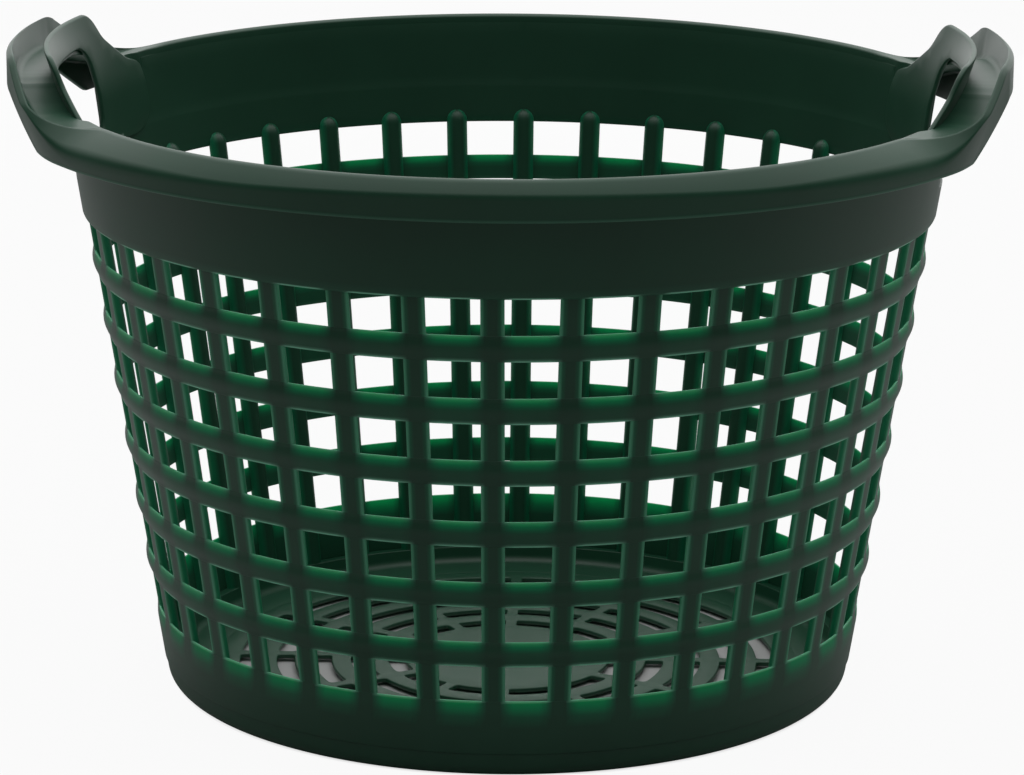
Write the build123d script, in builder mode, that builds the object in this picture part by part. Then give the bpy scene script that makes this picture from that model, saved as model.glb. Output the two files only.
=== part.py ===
from build123d import *
from math import cos, radians, sin
import os

# Round moulded harvest basket: a windowed cone wall, a plain collar, a rolled
# rim and two gutter handles. Millimetres, +Z up, origin on the ground under
# the middle of the base, handles on the X axis, front towards -Y.

os.makedirs("parts", exist_ok=True)

# Wall: staves stand inside one seat cone, and hoops and bands lie outside it.
wall_radius = 210.0
wall_lean = 0.157
collar_bottom = 243.5

# Lattice
stave_count = 36
stave_width = 11.1
stave_depth = 4.6
stave_rise = 6.8
stave_nose_bevel = 2.8
stave_top_flat = 1.2
row_count = 7
row_pitch = 30.9
window_height = 17.9
hoop_crown = 2.6
hoop_edge = 1.4
hoop_bevel = 2.5

# Collar and heel band
collar_height = 43.5
collar_wall = 3.2
collar_bevel = 1.8
heel_wall = 2.2
heel_bevel = 2.5

# Foot and slotted floor
foot_height = 12.5
foot_step = 0.6
foot_round = 11.0
foot_shelf = 20.6
floor_top = 4.0
floor_wall = 2.4
slot_rings = 5
slot_first_radius = 57.0
slot_edge_margin = 15.5
slot_width = 9.0
spoke_count = 12
spoke_width = 6.0

# Rim: narrow at front and back, wider towards the handles, because the skirt
# is turned about its own axis, set back from the basket's axis. Its edges are
# shares of the overhang at the front.
rim_top_above_collar = 14.5
rim_wall = 2.6
rim_overhang = 11.3
rim_lean = 0.25
rim_axis_offset = 22.0
rim_skirt_drop = 19.2
rim_round_share = 0.65
rim_bevel_share = 0.15

# Handles
handle_half_span = 108.0
handle_rise = 24.5
lip_wall = 2.8
lip_lean = 0.32
lip_shoulder_width = 15.0
lip_slope_run = 17.0
lip_shoulder_drop = 5.0
lip_corner_round = 17.0
panel_wall = 1.0
panel_inset = 13.0
panel_below_collar_top = 27.0
panel_corner_round = 25.0
hole_half_width = 44.0
hole_below_collar_top = 23.0
hole_above_collar_top = 23.0
hole_corner_round = 14.0
band_wall = 2.8
band_lean = 0.41
band_top_drop = 2.0
band_slope_run = 48.0
band_leg_width = 26.0
band_notch_run = 37.0
band_height = 16.0
gutter_wall = 2.6
grip_margin = 6.0
ramp_top_drop = 2.0
ramp_riser = 3.5

# Heights and lines that follow from the sizes above
collar_top = collar_bottom + collar_height
rim_top = collar_top + rim_top_above_collar
rim_skirt_bottom = rim_top - rim_skirt_drop
rim_outer_round = rim_round_share * rim_overhang
rim_inner_bevel = rim_bevel_share * rim_overhang
handle_top = rim_top + handle_rise
hole_bottom = collar_top - hole_below_collar_top
hole_top = collar_top + hole_above_collar_top
panel_bottom = collar_top - panel_below_collar_top
heel_top = collar_bottom - (row_count - 1) * row_pitch - window_height
stave_step = 360 / stave_count
stave_top = collar_bottom + stave_rise
lip_shoulder = rim_top - lip_shoulder_drop
panel_half_width = handle_half_span - panel_inset
lip_foot_half = panel_half_width - lip_shoulder_width
lip_top_half = lip_foot_half - lip_slope_run
band_top_half = handle_half_span - band_slope_run
band_notch_foot_half = handle_half_span - band_leg_width
band_notch_half = band_notch_foot_half - band_notch_run
band_top = handle_top - band_top_drop
band_bottom = band_top - band_height
grip_top = hole_top + gutter_wall
grip_half_width = hole_half_width + grip_margin
ramp_foot = rim_top - ramp_top_drop
ramp_head = grip_top - ramp_riser
far_out = 2 * wall_radius

# Flats that stand for a quarter round on a turned edge
corner_flats = 3


def seat(height):
    """Radius of the cone on which the staves meet the hoops and bands."""
    return wall_radius + wall_lean * (height - collar_bottom)


def quarter_round(centre_radius, centre_height, size, start_angle):
    """Points of a quarter round on a turned edge, counter-clockwise."""
    step = 90 / corner_flats
    angles = [radians(start_angle + index * step) for index in range(corner_flats + 1)]
    return [(centre_radius + size * cos(a), centre_height + size * sin(a)) for a in angles]


def row_top(row):
    """Upper edge of a row of windows, counted from the top."""
    return collar_bottom - (row - 1) * row_pitch


def row_bottom(row):
    """Lower edge of a row of windows."""
    return row_top(row) - window_height


foot_outside = seat(foot_height) + heel_wall - foot_step
foot_inside = seat(foot_height) - stave_depth
floor_radius = foot_inside - foot_shelf
slot_ring_pitch = (floor_radius - slot_edge_margin - slot_first_radius) / (slot_rings - 1)

# The skirt's radius about its own axis, at its lower and upper edge, and its
# distance from the basket's axis where a handle takes over from it.
skirt_radius = seat(rim_skirt_bottom) + rim_overhang + rim_axis_offset
skirt_top_radius = skirt_radius + rim_lean * rim_skirt_drop
skirt_end_x = (skirt_radius**2 - (handle_half_span + rim_axis_offset) ** 2) ** 0.5
skirt_end_radius = (skirt_end_x**2 + handle_half_span**2) ** 0.5


def lip_inside(height):
    """Inner radius of the leaning handle lip above the collar."""
    return seat(collar_top) - panel_wall + lip_lean * (height - collar_top)


def band_outside(height):
    """Outer radius of a handle's outer band, leaning up to its lower edge and upright above."""
    return skirt_end_radius + band_lean * (min(height, band_bottom) - rim_skirt_bottom)


def save(piece, name):
    """Label one finished piece and write it as its own node."""
    piece.label = name
    export_step(piece, f"parts/{name}.step")


# Staves: ribs with bevelled noses and sloped tops, cut flush with the seat cone.
stave_plane = Plane((seat(0), 0, 0), x_dir=(1, 0, -wall_lean), z_dir=(wall_lean, 0, 1))
stave_cut = 2 * stave_depth
stave_slope_foot = stave_top - (stave_cut - stave_top_flat)

with BuildPart() as stave:
    with BuildSketch(stave_plane) as rib:
        with Locations((-stave_depth, 0)):
            Rectangle(stave_cut, stave_width, align=(Align.MIN, Align.CENTER))
        chamfer(rib.vertices().group_by(Axis.X)[0], stave_nose_bevel)
    extrude(amount=far_out)
    with BuildSketch(Plane.XZ.rotated((0, 0, -stave_step / 2))):
        with BuildLine():
            Polyline(
                (seat(foot_height) - stave_cut, foot_height),
                (seat(foot_height), foot_height),
                (seat(stave_top), stave_top),
                (seat(stave_top) - stave_top_flat, stave_top),
                (seat(stave_top) - stave_cut, stave_slope_foot),
                close=True,
            )
        make_face()
    revolve(axis=Axis.Z, revolution_arc=stave_step, mode=Mode.INTERSECT)

for index in range(stave_count):
    save(stave.part.rotate(Axis.Z, index * stave_step), f"stave_{index + 1:02d}")

# Hoops: proud rings between the rows, thickest just under their upper edge.
for index in range(1, row_count):
    low = row_top(index + 1)
    high = row_bottom(index)
    crown = high - hoop_bevel
    with BuildPart() as hoop:
        with BuildSketch(Plane.XZ):
            with BuildLine():
                Polyline(
                    (seat(low), low),
                    (seat(low) + hoop_edge, low),
                    (seat(crown) + hoop_crown, crown),
                    (seat(high) + hoop_edge, high),
                    (seat(high), high),
                    close=True,
                )
            make_face()
        revolve(axis=Axis.Z)
    save(hoop.part, f"hoop_{index}")

# Collar: plain band with an open notch for each hand hole.
with BuildPart() as collar:
    with BuildSketch(Plane.XZ):
        with BuildLine():
            Polyline(
                (seat(collar_bottom), collar_bottom),
                (seat(collar_bottom) + collar_wall - collar_bevel, collar_bottom),
                (seat(collar_bottom) + collar_wall, collar_bottom + collar_bevel),
                (seat(collar_top) + collar_wall, collar_top),
                (seat(collar_top), collar_top),
                close=True,
            )
        make_face()
    revolve(axis=Axis.Z)
    with BuildSketch(Plane.YZ):
        with Locations((0, (hole_bottom + hole_top) / 2)):
            RectangleRounded(2 * hole_half_width, hole_top - hole_bottom, hole_corner_round)
    extrude(amount=far_out, both=True, mode=Mode.SUBTRACT)
save(collar.part, "collar")

# Heel band under the last row of windows.
with BuildPart() as heel_band:
    with BuildSketch(Plane.XZ):
        with BuildLine():
            Polyline(
                (seat(foot_height), foot_height),
                (seat(foot_height) + heel_wall, foot_height),
                (seat(heel_top - heel_bevel) + heel_wall, heel_top - heel_bevel),
                (seat(heel_top) + hoop_edge, heel_top),
                (seat(heel_top), heel_top),
                close=True,
            )
        make_face()
    revolve(axis=Axis.Z)
save(heel_band.part, "heel_band")

# Foot ring: rounded bottom edge that carries the heel band and the staves.
foot_corner = foot_outside - wall_lean * (foot_height - foot_round) - foot_round

with BuildPart() as foot_ring:
    with BuildSketch(Plane.XZ):
        with BuildLine():
            Polyline(
                (floor_radius, 0),
                *quarter_round(foot_corner, foot_round, foot_round, -90),
                (foot_outside, foot_height),
                (foot_inside, foot_height),
                (foot_inside - wall_lean * (foot_height - floor_top), floor_top),
                (floor_radius, floor_top),
                close=True,
            )
        make_face()
    revolve(axis=Axis.Z)
save(foot_ring.part, "foot_ring")

# Slotted floor: rings of curved slots broken by spokes.
with BuildPart() as base_plate:
    with BuildSketch(Plane.XY.offset(floor_top - floor_wall)):
        Circle(floor_radius)
    extrude(amount=floor_wall)
    with BuildSketch(Plane.XY.offset(floor_top - floor_wall)):
        for ring in reversed(range(slot_rings)):
            slot_radius = slot_first_radius + ring * slot_ring_pitch
            Circle(slot_radius + slot_width / 2)
            Circle(slot_radius - slot_width / 2, mode=Mode.SUBTRACT)
        with PolarLocations(0, spoke_count):
            Rectangle(
                floor_radius,
                spoke_width,
                align=(Align.MIN, Align.CENTER),
                mode=Mode.SUBTRACT,
            )
    extrude(amount=floor_wall, mode=Mode.SUBTRACT)
save(base_plate.part, "base_plate")

# Rim: wall on the collar, top plate and skirt, in a front and a back half.
rim_sweep = 150.0


def front_section(axis_shift):
    """Upright plane through a vertical axis, at the start of the front sweep."""
    turned = Plane.XZ.rotated((0, 0, -90 - rim_sweep / 2))
    return Plane(origin=(0, axis_shift, 0), x_dir=turned.x_dir, z_dir=turned.z_dir)


rim_axis = Axis((0, rim_axis_offset, 0), (0, 0, 1))
plate_inside = seat(rim_top)

with BuildPart() as rim_front:
    with BuildSketch(front_section(rim_axis_offset)):
        with BuildLine():
            Polyline(
                (plate_inside, rim_top - rim_wall),
                (skirt_top_radius - rim_outer_round, rim_top - rim_wall),
                (skirt_top_radius - rim_wall, rim_top - rim_outer_round),
                (skirt_radius - rim_wall, rim_skirt_bottom),
                (skirt_radius, rim_skirt_bottom),
                *quarter_round(
                    skirt_top_radius - rim_outer_round, rim_top - rim_outer_round, rim_outer_round, 0
                ),
                (plate_inside, rim_top),
                close=True,
            )
        make_face()
    revolve(axis=rim_axis, revolution_arc=rim_sweep)
    with BuildSketch(front_section(0)):
        with BuildLine():
            Polyline(
                (seat(collar_top) - collar_wall, collar_top),
                (seat(collar_top) + collar_wall, collar_top),
                (seat(rim_top - rim_wall) + collar_wall, rim_top - rim_wall),
                (seat(rim_top - rim_wall) - collar_wall, rim_top - rim_wall),
                close=True,
            )
        make_face()
    revolve(axis=Axis.Z, revolution_arc=rim_sweep)
    with BuildSketch(Plane.XZ):
        with BuildLine():
            Polyline(
                (0, collar_top),
                (seat(collar_top), collar_top),
                (seat(rim_top - rim_inner_bevel), rim_top - rim_inner_bevel),
                (seat(rim_top) + rim_inner_bevel, rim_top),
                (0, rim_top),
                close=True,
            )
        make_face()
    revolve(axis=Axis.Z, mode=Mode.SUBTRACT)
    with BuildSketch(Plane.XZ.offset(handle_half_span)):
        Rectangle(2 * far_out, 2 * far_out)
    extrude(amount=far_out, mode=Mode.INTERSECT)
save(rim_front.part, "rim_front")

with BuildPart() as rim_back:
    mirror(rim_front.part, about=Plane.XZ)
save(rim_back.part, "rim_back")

# Handle frame: panel round the hand hole, carried up as the arched inner lip.
# Above the collar it runs on to the rim's ends.
sector = 90.0

with BuildPart() as hand_frame:
    with BuildSketch(Plane.XZ.rotated((0, 0, -sector / 2))):
        with BuildLine():
            Polyline(
                (seat(panel_bottom) - panel_wall, panel_bottom),
                (seat(panel_bottom), panel_bottom),
                (seat(collar_top), collar_top),
                (lip_inside(collar_top) + lip_wall, collar_top),
                (lip_inside(handle_top) + lip_wall, handle_top),
                (lip_inside(handle_top), handle_top),
                (lip_inside(collar_top), collar_top),
                close=True,
            )
        make_face()
    revolve(axis=Axis.Z, revolution_arc=sector)
    with BuildSketch(Plane.YZ):
        with BuildLine():
            Polyline(
                (-panel_half_width, panel_bottom),
                (panel_half_width, panel_bottom),
                (panel_half_width, collar_top),
                (handle_half_span, collar_top),
                (handle_half_span, lip_shoulder),
                (lip_foot_half, lip_shoulder),
                (lip_top_half, handle_top),
                (-lip_top_half, handle_top),
                (-lip_foot_half, lip_shoulder),
                (-handle_half_span, lip_shoulder),
                (-handle_half_span, collar_top),
                (-panel_half_width, collar_top),
                close=True,
            )
        outline = make_face()
        fillet(outline.vertices().group_by(Axis.Y)[-1], lip_corner_round)
        fillet(outline.vertices().group_by(Axis.Y)[0], panel_corner_round)
        with Locations((0, (hole_bottom + hole_top) / 2)):
            RectangleRounded(
                2 * hole_half_width,
                hole_top - hole_bottom,
                hole_corner_round,
                mode=Mode.SUBTRACT,
            )
    extrude(amount=far_out, mode=Mode.INTERSECT)
save(hand_frame.part, "right_hand_frame")

# Outer band of the handle: arched strip that springs from the skirt.
with BuildPart() as outer_band:
    with BuildSketch(Plane.XZ.rotated((0, 0, -sector / 2))):
        with BuildLine():
            Polyline(
                (band_outside(rim_skirt_bottom) - band_wall, rim_skirt_bottom),
                (band_outside(rim_skirt_bottom), rim_skirt_bottom),
                (band_outside(band_bottom), band_bottom),
                (band_outside(band_top), band_top),
                (band_outside(band_top) - band_wall, band_top),
                (band_outside(band_bottom) - band_wall, band_bottom),
                close=True,
            )
        make_face()
    revolve(axis=Axis.Z, revolution_arc=sector)
    with BuildSketch(Plane.YZ):
        with BuildLine():
            Polyline(
                (-handle_half_span, rim_skirt_bottom),
                (-band_notch_foot_half, rim_skirt_bottom),
                (-band_notch_half, band_bottom),
                (band_notch_half, band_bottom),
                (band_notch_foot_half, rim_skirt_bottom),
                (handle_half_span, rim_skirt_bottom),
                (handle_half_span, ramp_foot),
                (band_top_half, band_top),
                (-band_top_half, band_top),
                (-handle_half_span, ramp_foot),
                close=True,
            )
        arch = make_face()
        fillet(arch.vertices().group_by(Axis.Y)[-1], lip_corner_round)
    extrude(amount=far_out, mode=Mode.INTERSECT)
save(outer_band.part, "right_outer_band")


def gutter_space():
    """Section of the space between the inner lip and the outer band."""
    low = rim_skirt_bottom
    with BuildSketch(Plane.XZ.rotated((0, 0, -sector / 2))) as space:
        with BuildLine():
            Polyline(
                (lip_inside(low) + lip_wall, low),
                (band_outside(low) - band_wall, low),
                (band_outside(band_bottom) - band_wall, band_bottom),
                (band_outside(handle_top) - band_wall, handle_top),
                (lip_inside(handle_top) + lip_wall, handle_top),
                close=True,
            )
        make_face()
    return space.sketch


# Grip: web across the gutter over the hand hole.
with BuildPart() as grip:
    add(gutter_space())
    revolve(axis=Axis.Z, revolution_arc=sector)
    with BuildSketch(Plane.YZ):
        with Locations((0, hole_top + gutter_wall / 2)):
            Rectangle(2 * grip_half_width, gutter_wall)
    extrude(amount=far_out, mode=Mode.INTERSECT)
save(grip.part, "right_grip")

# Ramps: gutter floor from the rim up to a riser at each end of the grip.
with BuildPart() as ramp_front:
    add(gutter_space())
    revolve(axis=Axis.Z, revolution_arc=sector)
    with BuildSketch(Plane.YZ):
        with BuildLine():
            Polyline(
                (-grip_half_width, grip_top),
                (-grip_half_width - gutter_wall, grip_top),
                (-grip_half_width - gutter_wall, ramp_head),
                (-lip_foot_half, ramp_foot),
                (-handle_half_span, ramp_foot),
                (-handle_half_span, ramp_foot - gutter_wall),
                (-lip_foot_half, ramp_foot - gutter_wall),
                (-grip_half_width, ramp_head - gutter_wall),
                close=True,
            )
        make_face()
    extrude(amount=far_out, mode=Mode.INTERSECT)
save(ramp_front.part, "right_ramp_front")

with BuildPart() as ramp_back:
    mirror(ramp_front.part, about=Plane.XZ)
save(ramp_back.part, "right_ramp_back")

# Left handle: mirror of the right one.
right_pieces = {
    "hand_frame": hand_frame,
    "outer_band": outer_band,
    "grip": grip,
    "ramp_front": ramp_front,
    "ramp_back": ramp_back,
}
for name, right_piece in right_pieces.items():
    with BuildPart() as left_piece:
        mirror(right_piece.part, about=Plane.YZ)
    save(left_piece.part, f"left_{name}")
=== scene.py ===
import math

import bmesh
import bpy
import numpy as np
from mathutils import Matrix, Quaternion, Vector
from mathutils.geometry import delaunay_2d_cdt


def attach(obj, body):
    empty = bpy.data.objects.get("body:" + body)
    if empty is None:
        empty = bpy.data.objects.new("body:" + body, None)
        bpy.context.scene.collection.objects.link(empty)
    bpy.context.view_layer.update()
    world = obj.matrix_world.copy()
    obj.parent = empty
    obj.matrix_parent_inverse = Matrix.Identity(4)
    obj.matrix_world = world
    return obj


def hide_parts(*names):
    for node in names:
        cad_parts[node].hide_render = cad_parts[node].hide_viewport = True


# Looks of a round moulded garden basket. Sizes are in millimetres in the
# frame of the CAD model: +Z up, handles on the X axis, front towards -Y.
# The material and the studio are in metres.

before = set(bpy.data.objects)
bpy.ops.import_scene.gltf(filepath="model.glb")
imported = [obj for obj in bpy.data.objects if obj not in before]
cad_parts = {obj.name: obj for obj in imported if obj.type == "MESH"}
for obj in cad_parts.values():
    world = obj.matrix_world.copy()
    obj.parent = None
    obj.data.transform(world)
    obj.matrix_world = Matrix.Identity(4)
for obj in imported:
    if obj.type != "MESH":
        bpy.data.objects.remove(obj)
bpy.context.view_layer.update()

MM = 0.001
BODY = "root"

# Wall and lattice
WALL_RADIUS = 210.0
WALL_LEAN = 0.157
COLLAR_BOTTOM = 243.5
ROW_COUNT = 7
ROW_PITCH = 30.9
WINDOW_HEIGHT = 17.9

# Hoops
HOOP_CROWN = 2.6
HOOP_EDGE = 1.15
HOOP_ROUND = 1.3
HOOP_STEPS = 12
HOOP_BACK_STEPS = 6

# Staves
STAVE_COUNT = 36
STAVE_WIDTH = 11.1
STAVE_DEPTH = 4.6
STAVE_FACE = 1.0
STAVE_RISE = 6.8
STAVE_EDGE = 1.2
STAVE_STEPS = 6
DOME_STEPS = 8
DOME_TIP = 0.03

# Collar, whose inner face has a faint line round it
COLLAR_TOP = 287.0
COLLAR_WALL = 3.2
COLLAR_EDGE = 1.3
COLLAR_LINE = 264.5
COLLAR_STEP = 0.25
LINE_HALF = 0.5
LINE_ROW = 0.6
COLLAR_UNDER_RIM = 298.5
COLLAR_UNDER_LIP = 292.5
NOTCH_MARGIN = 2.5
NOTCH_ROUND = 0.5
FRAME_LAP = 1.0
SEAM_TOLERANCE = 0.001

# Heel band and foot ring
HEEL_WALL = 2.2
HEEL_SWELL = 8.0
HEEL_PLAIN = 14.0
HEEL_BACK_DEPTHS = (5.0, 11.0)
HEEL_STEPS = 6
FOOT_HEIGHT = 12.5
FOOT_STEP = 0.6
FOOT_ROUND = 11.0
FOOT_SHELF = 20.6
FOOT_INNER_ROUND = 5.0
FOOT_LOW_ROUND = 1.0
FLOOR_SEAT_ROUND = 0.2
SEAM_ROUND = 0.3
LEDGE_ROUND = 0.5

# Slotted floor
FLOOR_TOP = 4.0
FLOOR_WALL = 2.4
FLOOR_EDGE = 0.7
FLOOR_LAP = 0.5
SLOT_RADII = (57.0, 76.0, 95.0, 114.0, 133.0)
SLOT_WIDTH = 9.0
SLOT_ROUND = 1.8
SLOT_LEAST_STEPS = 5
SPOKE_COUNT = 12
SPOKE_WIDTH = 6.0

# Hand frames: panel, hole and arched inner lip
PANEL_HALF_WIDTH = 95.0
PANEL_WALL = 1.0
PANEL_BOTTOM = 260.0
PANEL_ROUND = 25.0
HANDLE_TOP = 325.9
LIP_WALL = 2.8
LIP_LEAN = 0.32
LIP_EDGE = 1.1
LEDGE_END = 296.3
LEDGE_END_ROUND = 3.0
LEDGE_TOP = 299.2
LIP_FOOT_HALF = 86.0
LIP_FOOT_ROUND = 5.0
LIP_WAIST = 312.5
LIP_WAIST_HALF = 70.5
LIP_WAIST_ROUND = 14.0
LIP_TOP_HALF = 64.5
LIP_CORNER_ROUND = 17.0
HOLE_LOW_HALF = 43.5
HOLE_TOP_HALF = 49.0
HOLE_BOTTOM = 264.0
HOLE_TOP = 311.6
HOLE_LOW_ROUND = 14.0
HOLE_TOP_ROUND = 11.0

# Rolled rim
RIM_TOP = 301.5
RIM_WALL = 2.6
RIM_LEAN = 0.22
RIM_REACH = 227.4
RIM_AXIS_OFFSET = 22.0
RIM_TILT = 40.0
BROAD_LESS_TILT = 14.0
RIM_BEND = 4.5
BROAD_BEND = 6.5
RIM_CROWN = 5.8
RIM_FLAT = 2.4
RIM_FLAT_ENDS = (0.1, 0.2)
RIM_FLAT_ROUND = 3.0
RIM_INNER_DEPTH = 5.0
RIM_INNER_ROUND = 1.5
RIM_TUCK = 4.0
INNER_FALL = 0.8
SKIRT_BOTTOM = 282.3
SKIRT_BEAD = 0.5
BEAD_HEIGHT = 1.8
BEAD_ROUND = 0.4
HEM_ROUND = 0.7
UNDER_ROUND = 1.5

# Gutters and outer bands of the handles
BAND_FOOT = 239.5
BAND_LEAN = 0.37
BAND_KNEE = 308.0
BAND_TOP = 325.2
BAND_END = 296.0
BAND_BEND = 1.4
BAND_TILT = 45.0
BAND_EDGE = 2.1 * BAND_BEND
BAND_EDGE_ROUND = 1.1
GUTTER_SLANT = 2.4
GUTTER_DIP = 4.0
GUTTER_ROUND = 4.0
GUTTER_INNER_ROUND = 0.4
LIP_LAP = 0.8

# Heights along the rim, by the angle in degrees from a handle's middle
GUTTER_LINE = (
    (0, 312.6), (6, 312.5), (8, 312.2), (9.5, 311.6), (11, 310.4), (11.8, 309.9),
    (12.2, 309.6), (12.6, 308.4), (13.1, 307.9), (16.5, 303.6), (19.6, 300.6),
    (22.5, 300.1), (25, 300.5), (28.5, 301.3), (31, RIM_TOP), (90, RIM_TOP),
)
BAND_LINE = (
    (0, BAND_TOP), (12.4, BAND_TOP), (13.3, 325.0), (14.2, 324.3), (15.0, 323.2), (18.5, 316.0),
    (22.1, 308.8), (25.5, 302.0), (28.7, 297.5), (31, BAND_END), (90, BAND_END),
)
SKIRT_LINE = (
    (0, BAND_KNEE), (10.2, BAND_KNEE), (10.7, 307.6),
    (19.8, 282.6), (20.1, SKIRT_BOTTOM), (90, SKIRT_BOTTOM),
)

# Angles in degrees from a handle's middle between which the rim's section changes
BEAD_SPAN = (10.0, 20.0)
TUCK_SPAN = (19.5, 22.0)
UNTUCK_SPAN = (26.0, 30.0)
DIP_SPAN = (20.0, 25.0)
FOOT_SPAN = (20.0, 30.0)
CREST_SPAN = (22.5, 33.0)
LIP_END_SPAN = (23.5, 25.5)
LEAN_SPAN = (26.0, 50.0)
BROAD_SPAN = (30.0, 62.0)

# Painted glow along the upper edges of the wall's bands, which also sets the share of real translucency,
# and painted highlights on rounded edges. The stave's painted glow goes by the distance from its middle,
# and the painted shadow of a stave on the hoops by the angle in degrees.
GLOW_REST = 0.10
GLOW_DEPTH = 6.0
HEEL_GLOW_DEPTH = 10.0
STAVE_GLOW = 0.6
STAVE_GLOW_SPAN = (2.6, 5.4)
STAVE_SHADOW_SPAN = (1.1, 2.7)
COLLAR_GLOW = 0.1
COLLAR_GLOW_FROM = 3.0
COLLAR_GLOW_FULL = 0.6
TOP_SHINE = 0.7
STAVE_SHINE = 0.5
BEAD_SHINE = 0.12
BEAD_SPREAD = 1.2
HIGHLIGHT_CORE = 0.55

# Fineness: steps in a rounded corner, spacing of points, and the angles in degrees of the
# rim's sections and of a crease
EDGE_ARC = 3
SLOT_ARC = 3
PLAIN_ARC = 4
COLLAR_ARC = 6
LARGE_ARC = 8
BEND_STEPS = 4
CROWN_STEPS = 4
RING_SEGMENTS = 360
FLOOR_SEGMENTS = 180
WHOLE_RUN = 50.0
SLOT_SPACING = 6.0
FLOOR_SPACING = 9.0
COLLAR_OUTLINE_SPACING = 2.0
COLLAR_SPACING = 7.0
FRAME_OUTLINE_SPACING = 3.0
FRAME_SPACING = 6.0
RIM_FINE_SPAN = 36.0
RIM_FINE_PITCH = 0.5
RIM_PITCH = 1.0
CREASE = 40.0
RIM_CREASE = 50.0

# Limits for the making of meshes
TINY = 1e-6
NO_RADIUS = 1e-9
NO_SLOPE = 1e-12
FILL_TOLERANCE = 1e-5
WELD_GAP = 0.002
SLIVER_GAP = 0.001
STRAIGHT_HALF = 89.9
ROUND_ROOM = 0.48
LEAST_LEAN = 0.5
LEVEL_LIMIT = 0.1
BORDER_ROOM = 0.45


def seat(height):
    """Radius of the cone between the staves and the hoops."""
    return WALL_RADIUS + WALL_LEAN * (height - COLLAR_BOTTOM)


# Places that several pieces share
NOSE_RADIUS = (STAVE_DEPTH**2 + (STAVE_WIDTH / 2) ** 2) / (2 * STAVE_DEPTH)
NOSE_CENTRE = STAVE_DEPTH - NOSE_RADIUS
HEEL_TOP = COLLAR_BOTTOM - (ROW_COUNT - 1) * ROW_PITCH - WINDOW_HEIGHT
FOOT_OUTSIDE = seat(FOOT_HEIGHT) + HEEL_WALL - FOOT_STEP
FOOT_INSIDE = seat(FOOT_HEIGHT) - STAVE_DEPTH
FLOOR_RADIUS = FOOT_INSIDE - FOOT_SHELF
HALF_ROUND = math.pi * WALL_RADIUS
FRONT_HEADING = 270.0


def smooth(low, high, value):
    """Smooth step from 0 at low to 1 at high."""
    t = min(max((value - low) / (high - low), 0.0), 1.0)
    return t * t * (3 - 2 * t)


def height_on(line, place):
    """Height on the straight runs through (place, height) stations."""
    if place <= line[0][0]:
        return line[0][1]
    for (a, height_a), (b, height_b) in zip(line, line[1:]):
        if place <= b:
            t = (place - a) / (b - a)
            return height_a + (height_b - height_a) * t
    return line[-1][1]


def on_circle(radius, turn):
    """Point on a circle about the basket's axis; turn in radians."""
    return (radius * math.cos(turn), radius * math.sin(turn))


def rounded(corners, steps=PLAIN_ARC):
    """Closed outline with each corner (x, y, radius) rounded in the same number of points.

    A corner whose radius is None stays one point.
    """
    points = []
    for index, (x, y, radius) in enumerate(corners):
        here = Vector((x, y))
        if radius is None:
            points.append(tuple(here))
            continue
        back = Vector(corners[index - 1][:2]) - here
        ahead = Vector(corners[(index + 1) % len(corners)][:2]) - here
        room = min(back.length, ahead.length)
        back.normalize()
        ahead.normalize()
        half = 0.5 * math.acos(max(-1.0, min(1.0, back.dot(ahead))))
        if room < TINY or radius <= 0 or half > math.radians(STRAIGHT_HALF):
            points += [tuple(here)] * (steps + 1)
            continue
        tangent = min(radius / math.tan(half), ROUND_ROOM * room)
        centre = here + (back + ahead).normalized() * (tangent * math.tan(half) / math.sin(half))
        start = here + back * tangent - centre
        end = here + ahead * tangent - centre
        sweep = start.angle_signed(end) if start.length > NO_RADIUS else 0.0
        for step in range(steps + 1):
            turn = -sweep * step / steps
            c, s = math.cos(turn), math.sin(turn)
            points.append((centre.x + start.x * c - start.y * s, centre.y + start.x * s + start.y * c))
    return points


def outline(corners, spacing, steps=PLAIN_ARC):
    """Rounded outline without doubled points and with runs longer than the spacing divided."""
    raw = rounded(corners, steps)
    points = []
    for index, point in enumerate(raw):
        following = raw[(index + 1) % len(raw)]
        run = math.dist(point, following)
        if run < TINY:
            continue
        parts = max(1, round(run / spacing))
        for part in range(parts):
            t = part / parts
            points.append(tuple(a + (b - a) * t for a, b in zip(point, following)))
    return points


def nowhere(*place):
    """Amount of glow or paleness on a piece that has none."""
    return 0.0


def between_staves(heading):
    """Mask for the painted shade of a stave: 0 in front of a stave and 1 between two staves; heading in
    degrees.
    """
    pitch = 360.0 / STAVE_COUNT
    away = abs((heading + pitch / 2) % pitch - pitch / 2)
    return smooth(*STAVE_SHADOW_SPAN, away)


def near_corner(distance, radius):
    """1 in the middle of a rounded corner and 0 at its ends, by the distance from the sharp corner."""
    return 1 - smooth(HIGHLIGHT_CORE * radius, radius, distance)


def add_piece(name, points, faces, painted_glow, edge, replaced, crease=CREASE):
    """Make a mesh piece with its painted glow and painted highlight attributes, its material and body, and
    hide the CAD pieces it replaces.
    """
    mesh = bpy.data.meshes.new(name)
    mesh.from_pydata([(x * MM, y * MM, z * MM) for x, y, z in points], [], faces)
    for label, values in (("painted_glow", painted_glow), ("edge", edge)):
        layer = mesh.attributes.new(label, "FLOAT", "POINT")
        layer.data.foreach_set("value", [float(value) for value in values])
    shell = bmesh.new()
    shell.from_mesh(mesh)
    bmesh.ops.remove_doubles(shell, verts=shell.verts, dist=WELD_GAP * MM)
    bmesh.ops.dissolve_degenerate(shell, edges=shell.edges, dist=SLIVER_GAP * MM)
    bmesh.ops.recalc_face_normals(shell, faces=shell.faces)
    shell.to_mesh(mesh)
    shell.free()
    mesh.shade_smooth()
    mesh.set_sharp_from_angle(angle=math.radians(crease))
    piece = bpy.data.objects.new(name, mesh)
    bpy.context.scene.collection.objects.link(piece)
    mesh.materials.append(plastic)
    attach(piece, BODY)
    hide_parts(*replaced)


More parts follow.
